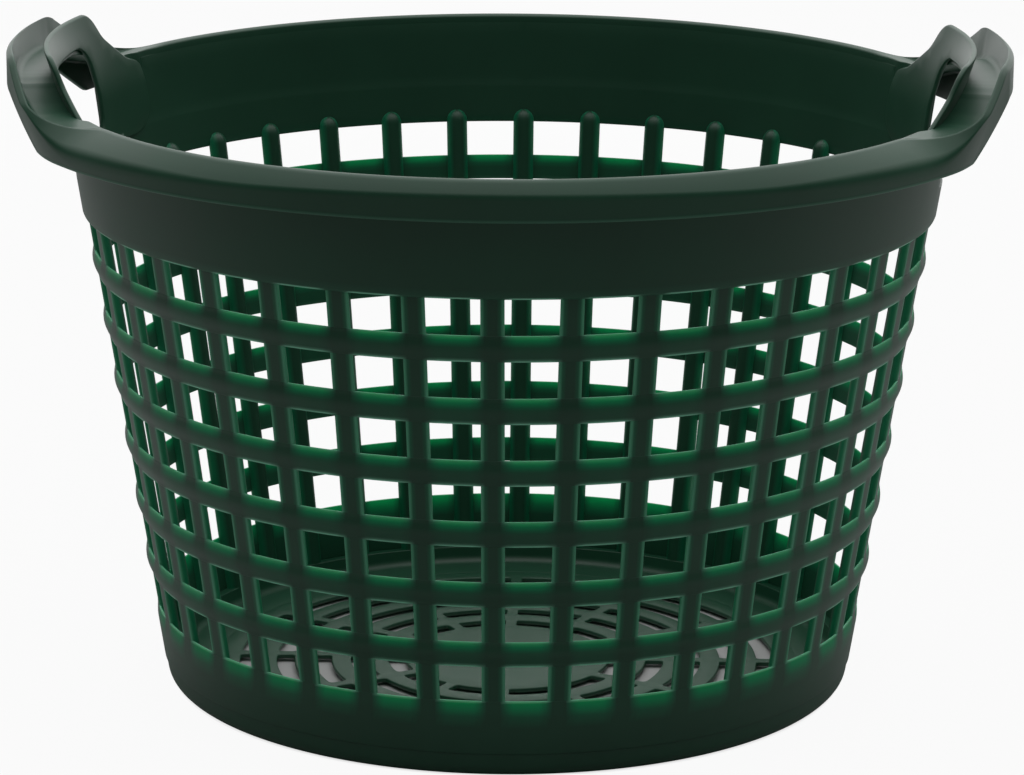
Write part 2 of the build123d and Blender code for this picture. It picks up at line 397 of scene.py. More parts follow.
def grid_faces(rings, around, closed_rings):
    """Quads between rings of points, each ring closed on itself."""
    faces = []
    for ring in range(rings if closed_rings else rings - 1):
        here = ring * around
        there = (ring + 1) % rings * around
        for spot in range(around):
            side = (spot + 1) % around
            faces.append((here + spot, here + side, there + side, there + spot))
    return faces


def turned(name, profile, replaced, painted_glow_at=nowhere, painted_highlight_at=nowhere):
    """Ring turned from a closed (radius, height) outline about the basket's axis."""
    points, painted_glow, painted_highlight = [], [], []
    for index in range(RING_SEGMENTS):
        heading = 360.0 * index / RING_SEGMENTS
        for radius, height in profile:
            points.append((*on_circle(radius, math.radians(heading)), height))
            painted_glow.append(painted_glow_at(heading, radius, height))
            painted_highlight.append(painted_highlight_at(heading, radius, height))
    add_piece(name, points, grid_faces(RING_SEGMENTS, len(profile), True), painted_glow, painted_highlight, replaced)


def inside(loops, spots):
    """Which spots lie in the material of an outline with holes."""
    result = np.zeros(len(spots), dtype=bool)
    x, y = spots[:, 0], spots[:, 1]
    for loop in loops:
        a = np.asarray(loop)
        b = np.roll(a, -1, axis=0)
        for (ax, ay), (bx, by) in zip(a, b):
            crosses = (ay > y) != (by > y)
            if not crosses.any():
                continue
            level = ax + (y - ay) / (by - ay if by != ay else NO_SLOPE) * (bx - ax)
            result ^= crosses & (x < level)
    return result


def inward(loop, seam):
    """Directions from the points of an outline into its material, longer at its corners."""
    spots = np.asarray(loop)
    before = spots - np.roll(spots, 1, axis=0)
    after = np.roll(spots, -1, axis=0) - spots
    before /= np.linalg.norm(before, axis=1)[:, None]
    after /= np.linalg.norm(after, axis=1)[:, None]
    along = before + after
    along /= np.linalg.norm(along, axis=1)[:, None]
    lean = np.maximum(LEAST_LEAN, (along * after).sum(axis=1))
    normal = np.stack([-along[:, 1], along[:, 0]], axis=1) / lean[:, None]
    if seam is not None:
        on_seam = np.array([seam(u) for u, v in spots])
        upward = normal[on_seam, 1]
        normal[on_seam, 0] = 0.0
        normal[on_seam, 1] = np.where(np.abs(upward) < LEVEL_LIMIT, 0.0, np.sign(upward))
    return normal


def fill_spots(borders, spacing, rows):
    """Grid of spots in the material, clear of its borders, with extra rows."""
    border = np.concatenate(borders)
    low_corner, high_corner = border.min(axis=0), border.max(axis=0)
    columns = np.arange(low_corner[0] + spacing / 2, high_corner[0], spacing)
    levels = np.arange(low_corner[1] + spacing / 2, high_corner[1], spacing)
    heights = sorted(set(levels) | set(rows))
    spots = np.array([(u, v) for v in heights for u in columns])
    gap = np.array([np.sqrt(((border - spot) ** 2).sum(axis=1).min()) for spot in spots])
    return spots[inside(borders, spots) & (gap > BORDER_ROOM * spacing)]


def fill_faces(borders, spots):
    """Faces over the borders' points and then the spots, with the holes left open."""
    places = [Vector((u, v)) for u, v in np.concatenate(borders)]
    places += [Vector((u, v)) for u, v in spots]
    edges = []
    start = 0
    for loop in borders:
        size = len(loop)
        edges += [(start + spot, start + (spot + 1) % size) for spot in range(size)]
        start += size
    made = delaunay_2d_cdt(places, edges, [], 0, FILL_TOLERANCE)
    made_places, made_faces, sources = made[0], made[2], made[3]
    origin = [source[0] if source else None for source in sources]
    centres = np.array([np.mean([made_places[corner] for corner in face], axis=0) for face in made_faces])
    faces = []
    for face, is_solid in zip(made_faces, inside(borders, centres)):
        corners = [origin[corner] for corner in face]
        if is_solid and None not in corners:
            faces.append(corners)
    return faces


def sheet(
    name, loops, place, wall, edge, spacing, replaced, painted_glow_at=nowhere, painted_highlight_at=nowhere, rows=(), seam=None
):
    """Closed skin of a wall with an outline and holes, mapped by place(u, v, depth), with rounded edges.

    Outlines have the material on their left. Points for which seam(u) holds get no edge
    wall, and the two sides of the seam are welded.
    """
    points, painted_glow, painted_highlight, faces = [], [], [], []

    def add_point(u, v, depth):
        """Add one point with its painted glow and its painted highlight."""
        points.append(place(u, v, depth))
        painted_glow.append(painted_glow_at(u, v, depth))
        painted_highlight.append(painted_highlight_at(u, v, depth))

    turns = [math.radians(90.0 * step / EDGE_ARC) for step in range(EDGE_ARC + 1)]
    levels = [(edge * (1 - math.sin(turn)), edge * (1 - math.cos(turn))) for turn in turns]
    levels += [(inset, wall - depth) for inset, depth in reversed(levels)]
    normals = [inward(loop, seam) for loop in loops]
    starts = []
    for inset, depth in levels:
        level_starts = []
        for loop, normal in zip(loops, normals):
            level_starts.append(len(points))
            for (u, v), (inward_u, inward_v) in zip(loop, normal):
                add_point(u + inward_u * inset, v + inward_v * inset, depth)
        starts.append(level_starts)
    for low, high in zip(starts, starts[1:]):
        for loop, a, b in zip(loops, low, high):
            for spot in range(len(loop)):
                side = (spot + 1) % len(loop)
                if seam is not None and seam(loop[spot][0]) and seam(loop[side][0]):
                    continue
                faces.append((a + spot, a + side, b + side, b + spot))

    borders = [np.asarray(loop) + normal * edge for loop, normal in zip(loops, normals)]
    spots = fill_spots(borders, spacing, rows)
    near, far = [], []
    for loop, first, last in zip(loops, starts[0], starts[-1]):
        near += range(first, first + len(loop))
        far += range(last, last + len(loop))
    for u, v in spots:
        near.append(len(points))
        add_point(u, v, 0.0)
        far.append(len(points))
        add_point(u, v, wall)
    for face in fill_faces(borders, spots):
        faces.append(tuple(near[corner] for corner in reversed(face)))
        faces.append(tuple(far[corner] for corner in face))
    add_piece(name, points, faces, painted_glow, painted_highlight, replaced)


# Material: satin polyolefin, dark and dense, with a green glow where the wall is thin, partly real
# translucency and partly painted glow in the base colour, and painted highlights on rounded edges.
# Colours of the body, of the painted glow in the base colour, of the real translucency, and of the painted
# highlights.
DARK_GREEN = (0.010, 0.072, 0.036, 1.0)
PAINTED_GLOW_GREEN = (0.012, 0.38, 0.19, 1.0)
GLOW_GREEN = (0.010, 0.72, 0.33, 1.0)
PAINTED_HIGHLIGHT_GREEN = (0.300, 0.80, 0.54, 1.0)
GLOW_SHARE = 0.5
ROUGHNESS = 0.42
ROUGHNESS_CHANGE = 0.06
CLOUD_SIZE = 0.05
CLOUD_DETAIL = 3.0
CLOUD_DARKEST = 0.8
CLOUD_LIGHTEST = 1.2
GRAIN_SIZE = 0.0006
GRAIN_DETAIL = 2.0
GRAIN_STRENGTH = 0.12
GRAIN_DEPTH = 0.0001


def add_node(tree, kind, values=None, operation=None, data_type=None):
    """New shader node with the values of its inputs, its operation and its data type."""
    node = tree.nodes.new(kind)
    if operation:
        node.operation = operation
    if data_type:
        node.data_type = data_type
    for socket, value in (values or {}).items():
        node.inputs[socket].default_value = value
    return node


def add_attribute(tree, label):
    """New node that reads an attribute of the mesh."""
    node = add_node(tree, "ShaderNodeAttribute")
    node.attribute_name = label
    return node


def connect(tree, *wires):
    """Join each wire's node and output to its other node and input."""
    for source, output, target, socket in wires:
        tree.links.new(source.outputs[output], target.inputs[socket])


def make_plastic():
    """Procedural satin plastic: one attribute paints glow into the base colour and sets the share of
    translucency, another paints highlights on rounded edges.
    """
    material = bpy.data.materials.new("moulded_green_plastic")
    material.use_nodes = True
    tree = material.node_tree
    tree.nodes.clear()
    where = add_node(tree, "ShaderNodeNewGeometry")
    painted_glow = add_attribute(tree, "painted_glow")
    edge = add_attribute(tree, "edge")
    cloud = add_node(tree, "ShaderNodeTexNoise", {"Scale": 1 / CLOUD_SIZE, "Detail": CLOUD_DETAIL})
    grain = add_node(tree, "ShaderNodeTexNoise", {"Scale": 1 / GRAIN_SIZE, "Detail": GRAIN_DETAIL})
    tone = add_node(tree, "ShaderNodeMix", {"A": DARK_GREEN, "B": PAINTED_GLOW_GREEN}, data_type="RGBA")
    bright = add_node(tree, "ShaderNodeMix", {"B": PAINTED_HIGHLIGHT_GREEN}, data_type="RGBA")
    shade = add_node(tree, "ShaderNodeMapRange", {"To Min": CLOUD_DARKEST, "To Max": CLOUD_LIGHTEST})
    mottle = add_node(tree, "ShaderNodeVectorMath", operation="SCALE")
    gloss = add_node(
        tree,
        "ShaderNodeMapRange",
        {"To Min": ROUGHNESS - ROUGHNESS_CHANGE, "To Max": ROUGHNESS + ROUGHNESS_CHANGE},
    )
    bump = add_node(tree, "ShaderNodeBump", {"Strength": GRAIN_STRENGTH, "Distance": GRAIN_DEPTH})
    amount = add_node(tree, "ShaderNodeMapRange", {"To Min": 0.0, "To Max": GLOW_SHARE})
    body = add_node(tree, "ShaderNodeBsdfPrincipled")
    glow = add_node(tree, "ShaderNodeBsdfTranslucent", {"Color": GLOW_GREEN})
    blend = add_node(tree, "ShaderNodeMixShader")
    output = add_node(tree, "ShaderNodeOutputMaterial")
    # Painted glow lightens the base colour and sets the translucent share; painted highlights pale it
    # towards a light green.
    connect(
        tree,
        (where, "Position", cloud, "Vector"),
        (where, "Position", grain, "Vector"),
        (painted_glow, "Fac", tone, "Factor"),
        (tone, "Result", bright, "A"),
        (edge, "Fac", bright, "Factor"),
        (cloud, "Fac", shade, "Value"),
        (bright, "Result", mottle, 0),
        (shade, "Result", mottle, "Scale"),
        (mottle, "Vector", body, "Base Color"),
        (cloud, "Fac", gloss, "Value"),
        (gloss, "Result", body, "Roughness"),
        (grain, "Fac", bump, "Height"),
        (bump, "Normal", body, "Normal"),
        (painted_glow, "Fac", amount, "Value"),
        (amount, "Result", blend, "Fac"),
        (body, "BSDF", blend, 1),
        (glow, "BSDF", blend, 2),
        (blend, "Shader", output, "Surface"),
    )
    return material


def make_hoop(number):
    """Proud ring between two rows of windows that swells from its edges to a crown."""
    low = COLLAR_BOTTOM - number * ROW_PITCH
    high = COLLAR_BOTTOM - (number - 1) * ROW_PITCH - WINDOW_HEIGHT
    corners = [(seat(high), high, HOOP_ROUND)]
    for step in range(1, HOOP_BACK_STEPS):
        height = high + (low - high) * step / HOOP_BACK_STEPS
        corners.append((seat(height), height, None))
    corners.append((seat(low), low, HOOP_ROUND))
    for step in range(HOOP_STEPS + 1):
        t = step / HOOP_STEPS
        height = low + (high - low) * t
        swell = HOOP_EDGE + (HOOP_CROWN - HOOP_EDGE) * math.sin(math.pi * t) ** 2
        corners.append((seat(height) + swell, height, HOOP_ROUND if step in (0, HOOP_STEPS) else None))

    def painted_glow_at(heading, radius, height):
        """Painted glow along the upper edge between the staves, fading out as painted shade in front of a
        stave.
        """
        glow = GLOW_REST + (1 - GLOW_REST) * smooth(high - GLOW_DEPTH, high, height)
        return glow * between_staves(heading)

    def painted_highlight_at(heading, radius, height):
        """Painted highlights on the rounded outer edges between the staves, weaker on the upper edge."""
        top = math.hypot(radius - seat(high) - HOOP_EDGE, height - high)
        bottom = math.hypot(radius - seat(low) - HOOP_EDGE, height - low)
        painted_highlight = max(TOP_SHINE * near_corner(top, HOOP_ROUND), near_corner(bottom, HOOP_ROUND))
        return painted_highlight * between_staves(heading)

    turned(f"hoop_{number}_skin", outline(corners, WHOLE_RUN), [f"hoop_{number}"], painted_glow_at, painted_highlight_at)


def stave_section():
    """Outline (side, depth) of a stave: flat on the outside of the wall, half-round on the inside."""
    half_turn = math.asin(STAVE_WIDTH / 2 / NOSE_RADIUS)
    corners = [(-STAVE_WIDTH / 2, -STAVE_FACE, STAVE_EDGE)]
    for step in range(1, STAVE_STEPS):
        corners.append((STAVE_WIDTH * (step / STAVE_STEPS - 0.5), -STAVE_FACE, None))
    corners.append((STAVE_WIDTH / 2, -STAVE_FACE, STAVE_EDGE))
    for step in range(2 * STAVE_STEPS + 1):
        turn = half_turn * (1 - step / STAVE_STEPS)
        corners.append((NOSE_RADIUS * math.sin(turn), NOSE_CENTRE + NOSE_RADIUS * math.cos(turn), None))
    return outline(corners, WHOLE_RUN)


def stave_levels():
    """Heights up a stave, each with the scale of its section, which closes into a dome."""
    dome_foot = COLLAR_BOTTOM + STAVE_RISE - NOSE_RADIUS
    levels = [(FOOT_HEIGHT, 1.0), (dome_foot, 1.0)]
    for step in range(1, DOME_STEPS + 1):
        turn = math.radians(90.0 * step / DOME_STEPS)
        levels.append((dome_foot + NOSE_RADIUS * math.sin(turn), max(math.cos(turn), DOME_TIP)))
    return levels


def make_stave(index):
    """Half-round rib whose outer face lies nearly level with the hoops' edges."""
    heading = math.radians(360.0 * index / STAVE_COUNT)
    section = stave_section()
    levels = stave_levels()
    points, painted_glow, painted_highlight = [], [], []
    for height, scale in levels:
        for side, depth in section:
            turn = heading + side * scale / seat(height)
            points.append((*on_circle(seat(height) - depth * scale, turn), height))
            # Painted glow on the stave's thin sides and painted highlight on its rounded outer edges.
            painted_glow.append(STAVE_GLOW * smooth(*STAVE_GLOW_SPAN, abs(side)))
            corner = math.hypot(abs(side) - STAVE_WIDTH / 2, depth + STAVE_FACE)
            painted_highlight.append(STAVE_SHINE * near_corner(corner, STAVE_EDGE))
    around = len(section)
    faces = grid_faces(len(levels), around, False)
    for level in (0, len(levels) - 1):
        faces.append(tuple(range(level * around, (level + 1) * around)))
    name = f"stave_{index + 1:02d}"
    add_piece(f"{name}_skin", points, faces, painted_glow, painted_highlight, [name])


def make_heel_band():
    """Plain band under the windows, a little thinner along its upper edge."""
    corners = [(seat(HEEL_TOP), HEEL_TOP, HOOP_ROUND)]
    for depth in HEEL_BACK_DEPTHS:
        corners.append((seat(HEEL_TOP - depth), HEEL_TOP - depth, None))
    corners += [
        (seat(FOOT_HEIGHT), FOOT_HEIGHT, SEAM_ROUND),
        (seat(FOOT_HEIGHT) + HEEL_WALL, FOOT_HEIGHT, LEDGE_ROUND),
        (seat(HEEL_TOP - HEEL_PLAIN) + HEEL_WALL, HEEL_TOP - HEEL_PLAIN, None),
    ]
    for step in range(HEEL_STEPS + 1):
        t = step / HEEL_STEPS
        height = HEEL_TOP - HEEL_SWELL * (1 - t)
        swell = HOOP_EDGE + (HEEL_WALL - HOOP_EDGE) * 0.5 * (1 + math.cos(math.pi * t))
        corners.append((seat(height) + swell, height, HOOP_ROUND if step == HEEL_STEPS else None))

    def painted_glow_at(heading, radius, height):
        """Painted glow along the upper edge, with painted shade where a stave stands behind it."""
        rest = GLOW_REST * smooth(HEEL_TOP - HEEL_PLAIN, HEEL_TOP - HEEL_SWELL, height)
        glow = rest + (1 - rest) * smooth(HEEL_TOP - HEEL_GLOW_DEPTH, HEEL_TOP, height)
        return glow * between_staves(heading)

    def painted_highlight_at(heading, radius, height):
        """Painted highlight on the rounded outer edge between the staves."""
        distance = math.hypot(radius - seat(HEEL_TOP) - HOOP_EDGE, height - HEEL_TOP)
        return near_corner(distance, HOOP_ROUND) * between_staves(heading)

    turned("heel_band_skin", outline(corners, WHOLE_RUN), ["heel_band"], painted_glow_at, painted_highlight_at)


def make_foot_ring():
    """Bottom edge with a large outer round and a shelf for the floor."""
    corners = [
        (FLOOR_RADIUS, 0.0, FOOT_LOW_ROUND),
        (FOOT_OUTSIDE - WALL_LEAN * FOOT_HEIGHT, 0.0, FOOT_ROUND),
        (FOOT_OUTSIDE, FOOT_HEIGHT, SEAM_ROUND),
        (FOOT_INSIDE, FOOT_HEIGHT, LEDGE_ROUND),
        (FOOT_INSIDE - WALL_LEAN * (FOOT_HEIGHT - FLOOR_TOP), FLOOR_TOP, FOOT_INNER_ROUND),
        (FLOOR_RADIUS, FLOOR_TOP, FLOOR_SEAT_ROUND),
    ]
    turned("foot_ring_skin", outline(corners, WHOLE_RUN, LARGE_ARC), ["foot_ring"])


def slot_loop(ring_radius, spoke):
    """Outline of one curved drain slot, turned so that the floor lies on its left."""
    inner = ring_radius - SLOT_WIDTH / 2
    outer = ring_radius + SLOT_WIDTH / 2
    middle = 2 * math.pi * (spoke + 0.5) / SPOKE_COUNT
    outer_half = math.pi / SPOKE_COUNT - math.asin(SPOKE_WIDTH / 2 / outer)
    inner_half = math.pi / SPOKE_COUNT - math.asin(SPOKE_WIDTH / 2 / inner)
    steps = max(SLOT_LEAST_STEPS, round(outer * outer_half * 2 / SLOT_SPACING))
    corners = []
    for radius, half in ((outer, outer_half), (inner, -inner_half)):
        for step in range(steps + 1):
            turn = middle - half + 2 * half * step / steps
            corners.append((*on_circle(radius, turn), SLOT_ROUND if step in (0, steps) else 0))
    return list(reversed(outline(corners, SLOT_SPACING, SLOT_ARC)))


def make_floor():
    """Flat disc with rings of curved drain slots."""
    turns = [2 * math.pi * step / FLOOR_SEGMENTS for step in range(FLOOR_SEGMENTS)]
    loops = [[on_circle(FLOOR_RADIUS + FLOOR_LAP, turn) for turn in turns]]
    for ring_radius in SLOT_RADII:
        for spoke in range(SPOKE_COUNT):
            loops.append(slot_loop(ring_radius, spoke))

    def on_floor(u, v, depth):
        """Point of the floor, by its place in plan and its height above the underside."""
        return (u, v, FLOOR_TOP - FLOOR_WALL + depth)

    sheet("base_plate_skin", loops, on_floor, FLOOR_WALL, FLOOR_EDGE, FLOOR_SPACING, ["base_plate"])


# Collar, unrolled: u is the distance along a circle of the wall's radius, 0 at the front,
# and v is the height.
def on_collar(u, v, depth):
    """Point of the collar's wall; the inner face steps out above its faint line."""
    angle = u / WALL_RADIUS
    above_line = smooth(COLLAR_LINE - LINE_HALF, COLLAR_LINE + LINE_HALF, v)
    step = COLLAR_STEP * above_line * (1 - depth / COLLAR_WALL)
    radius = seat(v) + step + depth
    return (radius * math.sin(angle), -radius * math.cos(angle), v)


def across(y_from_handle, height):
    """Distance along the unrolled collar for a place beside a handle's middle."""
    return WALL_RADIUS * math.asin(y_from_handle / (seat(height) + COLLAR_WALL / 2))


def collar_corners():
    """Outline of the unrolled collar with a notch at each hand hole."""
    corners = [
        (-HALF_ROUND, COLLAR_BOTTOM, 0),
        (HALF_ROUND, COLLAR_BOTTOM, 0),
        (HALF_ROUND, COLLAR_UNDER_RIM, 0),
    ]
    quarter = HALF_ROUND / 2
    span = WALL_RADIUS * math.asin((PANEL_HALF_WIDTH - FRAME_LAP) / seat(COLLAR_TOP))
    notch_low = across(HOLE_LOW_HALF + NOTCH_MARGIN, HOLE_BOTTOM)
    notch_top = across(HOLE_LOW_HALF + 2 * NOTCH_MARGIN, COLLAR_UNDER_LIP)
    notch_bottom = HOLE_BOTTOM - NOTCH_MARGIN
    for middle in (quarter, -quarter):
        corners += [
            (middle + span, COLLAR_UNDER_RIM, NOTCH_ROUND),
            (middle + span, COLLAR_UNDER_LIP, NOTCH_ROUND),
            (middle + notch_top, COLLAR_UNDER_LIP, NOTCH_ROUND),
            (middle + notch_low, notch_bottom, HOLE_LOW_ROUND),
            (middle - notch_low, notch_bottom, HOLE_LOW_ROUND),
            (middle - notch_top, COLLAR_UNDER_LIP, NOTCH_ROUND),
            (middle - span, COLLAR_UNDER_LIP, NOTCH_ROUND),
            (middle - span, COLLAR_UNDER_RIM, NOTCH_ROUND),
        ]
    corners.append((-HALF_ROUND, COLLAR_UNDER_RIM, 0))
    return corners


def collar_painted_glow(u, v, depth):
    """Faint painted glow along the collar's lower edge."""
    return COLLAR_GLOW * (1 - smooth(COLLAR_BOTTOM + COLLAR_GLOW_FULL, COLLAR_BOTTOM + COLLAR_GLOW_FROM, v))


def collar_painted_highlight(u, v, depth):
    """Painted highlight on the rounded lower outer edge of the collar between the staves."""
    heading = math.degrees(u / WALL_RADIUS) + FRONT_HEADING
    distance = math.hypot(v - COLLAR_BOTTOM, COLLAR_WALL - depth)
    return near_corner(distance, COLLAR_EDGE) * between_staves(heading)


def make_collar():
    """Plain band above the windows."""
    sheet(
        "collar_skin",
        [outline(collar_corners(), COLLAR_OUTLINE_SPACING, COLLAR_ARC)],
        on_collar,
        COLLAR_WALL,
        COLLAR_EDGE,
        COLLAR_SPACING,
        ["collar"],
        painted_glow_at=collar_painted_glow,
        painted_highlight_at=collar_painted_highlight,
        rows=(COLLAR_LINE - LINE_ROW, COLLAR_LINE + LINE_ROW),
        seam=lambda u: abs(abs(u) - HALF_ROUND) < SEAM_TOLERANCE,
    )


def lip_inside(height):
    """Inner radius of the hand frame's panel below the collar's top and of its lip above it."""
    if height < COLLAR_TOP:
        return seat(height) - PANEL_WALL
    return seat(COLLAR_TOP) - PANEL_WALL + LIP_LEAN * (height - COLLAR_TOP)


def make_hand_frame(side, sign):
    """Raised panel round the hand hole with the arched inner lip above it."""
    right_half = [
        (PANEL_HALF_WIDTH, PANEL_BOTTOM, PANEL_ROUND),
        (PANEL_HALF_WIDTH, LEDGE_END, LEDGE_END_ROUND),
        (LIP_FOOT_HALF, LEDGE_TOP, LIP_FOOT_ROUND),
        (LIP_WAIST_HALF, LIP_WAIST, LIP_WAIST_ROUND),
        (LIP_TOP_HALF, HANDLE_TOP, LIP_CORNER_ROUND),
    ]
    left_half = [(-u, v, radius) for u, v, radius in reversed(right_half)]
    frame_corners = left_half[-1:] + right_half + left_half[:-1]
    hole_corners = [
        (-HOLE_LOW_HALF, HOLE_BOTTOM, HOLE_LOW_ROUND),
        (-HOLE_TOP_HALF, HOLE_TOP, HOLE_TOP_ROUND),
        (HOLE_TOP_HALF, HOLE_TOP, HOLE_TOP_ROUND),
        (HOLE_LOW_HALF, HOLE_BOTTOM, HOLE_LOW_ROUND),
    ]
    loops = [
        outline(frame_corners, FRAME_OUTLINE_SPACING, LARGE_ARC),
        outline(hole_corners, FRAME_OUTLINE_SPACING, LARGE_ARC),
    ]

    def on_frame(u, v, depth):
        """Point of the frame, by its distance beside the handle's middle and its height."""
        radius = lip_inside(v)
        x, y = on_circle(radius + depth, math.asin(u / radius))
        return (sign * x, y, v)

    name = f"{side}_hand_frame"
    sheet(f"{name}_skin", loops, on_frame, LIP_WALL, LIP_EDGE, FRAME_SPACING, [name])


# Rim and outer bands: one ring whose section opens into a gutter at each handle.
def skirt_reach(angle):
    """Outer radius of the skirt's lower edge; angle in radians from the nearer of front and back."""
    ring = RIM_REACH + RIM_AXIS_OFFSET
    aside = RIM_AXIS_OFFSET * math.sin(angle)
    return -RIM_AXIS_OFFSET * math.cos(angle) + math.sqrt(ring**2 - aside**2)


def rim_section(away):
    """Corners (radius, height, round) of the rim's section, and the place of its bead.

    They go by the angle in degrees from a handle's middle: the gutter between the two lips
    of a handle changes into the rolled crest of the rim.
    """
    crest = smooth(*CREST_SPAN, away)
    broad = 1 - smooth(*BROAD_SPAN, away)
    behind_lip = 1 - smooth(*LIP_END_SPAN, away)
    lean = BAND_LEAN + (RIM_LEAN - BAND_LEAN) * smooth(*LEAN_SPAN, away)
    skirt = skirt_reach(math.radians(90.0 - away))
    foot = BAND_FOOT + (skirt - BAND_FOOT) * smooth(*FOOT_SPAN, away)
    tuck = RIM_TUCK * smooth(*TUCK_SPAN, away) * (1 - smooth(*UNTUCK_SPAN, away))
    dip = GUTTER_DIP * smooth(*DIP_SPAN, away)
    floor = height_on(GUTTER_LINE, away)
    top = height_on(BAND_LINE, away)
    low = height_on(SKIRT_LINE, away)

    def outer(height):
        """Radius of the rim's outer face."""
        return foot + lean * (min(height, BAND_KNEE) - SKIRT_BOTTOM)

    def inner(height):
        """Radius at which the rim meets the collar, or laps the lip of a handle."""
        face = seat(height) + COLLAR_STEP
        return face + (lip_inside(height) + LIP_WALL - LIP_LAP - face) * behind_lip

    def shoulder(run, bend, crown, tilt, peak):
        """From the outer face round a bend, up a tilted face and over a crown that ends level."""
        turn = math.radians(90.0 - tilt)
        slope = math.tan(math.radians(tilt))
        rise = (run - bend * (1 - math.cos(turn)) - crown * math.cos(turn)) * slope
        base = peak - crown * (1 - math.sin(turn)) - rise - bend * math.sin(turn)
        points = []
        for step in range(BEND_STEPS + 1):
            part = turn * step / BEND_STEPS
            height = base + bend * math.sin(part)
            points.append((outer(height) - bend * (1 - math.cos(part)), height, None))
        for step in range(CROWN_STEPS + 1):
            part = turn + (math.pi / 2 - turn) * step / CROWN_STEPS
            height = peak - crown * (1 - math.sin(part))
            points.append((outer(height) - run + crown * math.cos(part), height, None))
        return points

    bead = outer(low) + SKIRT_BEAD * smooth(*BEAD_SPAN, away)
    hem = [
        (outer(low) - RIM_WALL, low, HEM_ROUND),
        (bead, low, HEM_ROUND),
        (outer(low + BEAD_HEIGHT), low + BEAD_HEIGHT, BEAD_ROUND),
    ]
    under = floor - RIM_WALL - dip
    gutter = [
        (inner(under - tuck), under - tuck, SEAM_ROUND),
        (outer(under) - RIM_WALL, under, UNDER_ROUND),
        *hem,
        *shoulder(2 * BAND_BEND, BAND_BEND, BAND_BEND, BAND_TILT, top),
        (outer(top) - BAND_EDGE, top, BAND_EDGE_ROUND),
        (outer(floor) - RIM_WALL - GUTTER_SLANT, floor - dip, GUTTER_ROUND),
        (inner(floor), floor, GUTTER_INNER_ROUND),
    ]
    flat = inner(RIM_TOP) + RIM_FLAT
    crest_bend = RIM_BEND + BROAD_BEND * broad
    crest_tilt = RIM_TILT - BROAD_LESS_TILT * broad
    crest_curve = shoulder(outer(RIM_TOP) - flat, crest_bend, RIM_CROWN, crest_tilt, RIM_TOP)
    bend_foot = crest_curve[0][1]
    rolled = [
        (inner(RIM_TOP - RIM_INNER_DEPTH), RIM_TOP - RIM_INNER_DEPTH - tuck, SEAM_ROUND),
        (outer(bend_foot) - RIM_WALL, bend_foot, UNDER_ROUND),
        *hem,
        *crest_curve,
        (flat - RIM_FLAT_ENDS[0], RIM_TOP, BAND_EDGE_ROUND),
        (flat - RIM_FLAT_ENDS[1], RIM_TOP, RIM_FLAT_ROUND),
        (inner(RIM_TOP), RIM_TOP - INNER_FALL, RIM_INNER_ROUND),
    ]
    section = []
    for (r0, z0, round0), (r1, z1, round1) in zip(gutter, rolled):
        corner = None if round0 is None else round0 + (round1 - round0) * crest
        section.append((r0 + (r1 - r0) * crest, z0 + (z1 - z0) * crest, corner))
    return section, (bead, low)


def from_handle(heading):
    """Angle in degrees between a heading and the nearer handle's middle."""
    return abs((heading + 90.0) % 180.0 - 90.0)


def make_rim():
    """Rolled rim with the gutters, grips and outer bands of the handles as one skin."""
    headings = [0.0]
    while headings[-1] < 360.0:
        fine = from_handle(headings[-1]) < RIM_FINE_SPAN
        headings.append(headings[-1] + (RIM_FINE_PITCH if fine else RIM_PITCH))
    headings.pop()
    points, painted_highlight = [], []
    for heading in headings:
        section, bead = rim_section(from_handle(heading))
        ring = rounded(section)
        for radius, height in ring:
            points.append((*on_circle(radius, math.radians(heading)), height))
            # Painted highlight along the bead at the skirt's lower edge.
            painted_highlight.append(BEAD_SHINE * near_corner(math.dist((radius, height), bead), BEAD_SPREAD))
    replaced = ["rim_front", "rim_back"]
    for side in ("left", "right"):
        replaced += [f"{side}_{part}" for part in ("outer_band", "grip", "ramp_front", "ramp_back")]
    faces = grid_faces(len(headings), len(ring), True)
    add_piece("rim_skin", points, faces, [0.0] * len(points), painted_highlight, replaced, RIM_CREASE)


plastic = make_plastic()
for number in range(1, ROW_COUNT):
    make_hoop(number)
for index in range(STAVE_COUNT):
    make_stave(index)
make_heel_band()
make_foot_ring()
make_floor()
make_collar()
make_hand_frame("right", 1)
make_hand_frame("left", -1)
make_rim()

# Studio: pale floor, soft light and camera. The floor and the air are white to the
# camera; under the basket the floor keeps its own shade.
GROUND_REACH = 12.0
# Painted shade on the floor: its grey runs from darker in front to lighter behind.
GROUND_FRONT = 0.25
GROUND_FRONT_PLACE = -0.65
GROUND_BACK = 0.47
GROUND_BACK_PLACE = -0.1
SHADE_RADIUS = 0.160
WHITE_RADIUS = 0.172
WHITE_SHARE = 0.94
AIR_LOW = 0.08
AIR_LOW_LEVEL = 0.15
AIR_HIGH = 1.05
AIR_HIGH_LEVEL = 0.65
AIR_TILT = (-0.25, 0.45, 0.893)
BASKET_MIDDLE = (0.0, 0.0, 0.2)
WALL_MIDDLE = (0.0, 0.0, 0.16)
CAMERA_PLACE = (0.07534, -2.1, 0.69476)
CAMERA_PITCH = 14.604
CAMERA_YAW = 2.0067
CAMERA_ROLL = 0.3055
CAMERA_LENS = 150.395
CAMERA_SENSOR = 36.0
CAMERA_FAR = 50.0


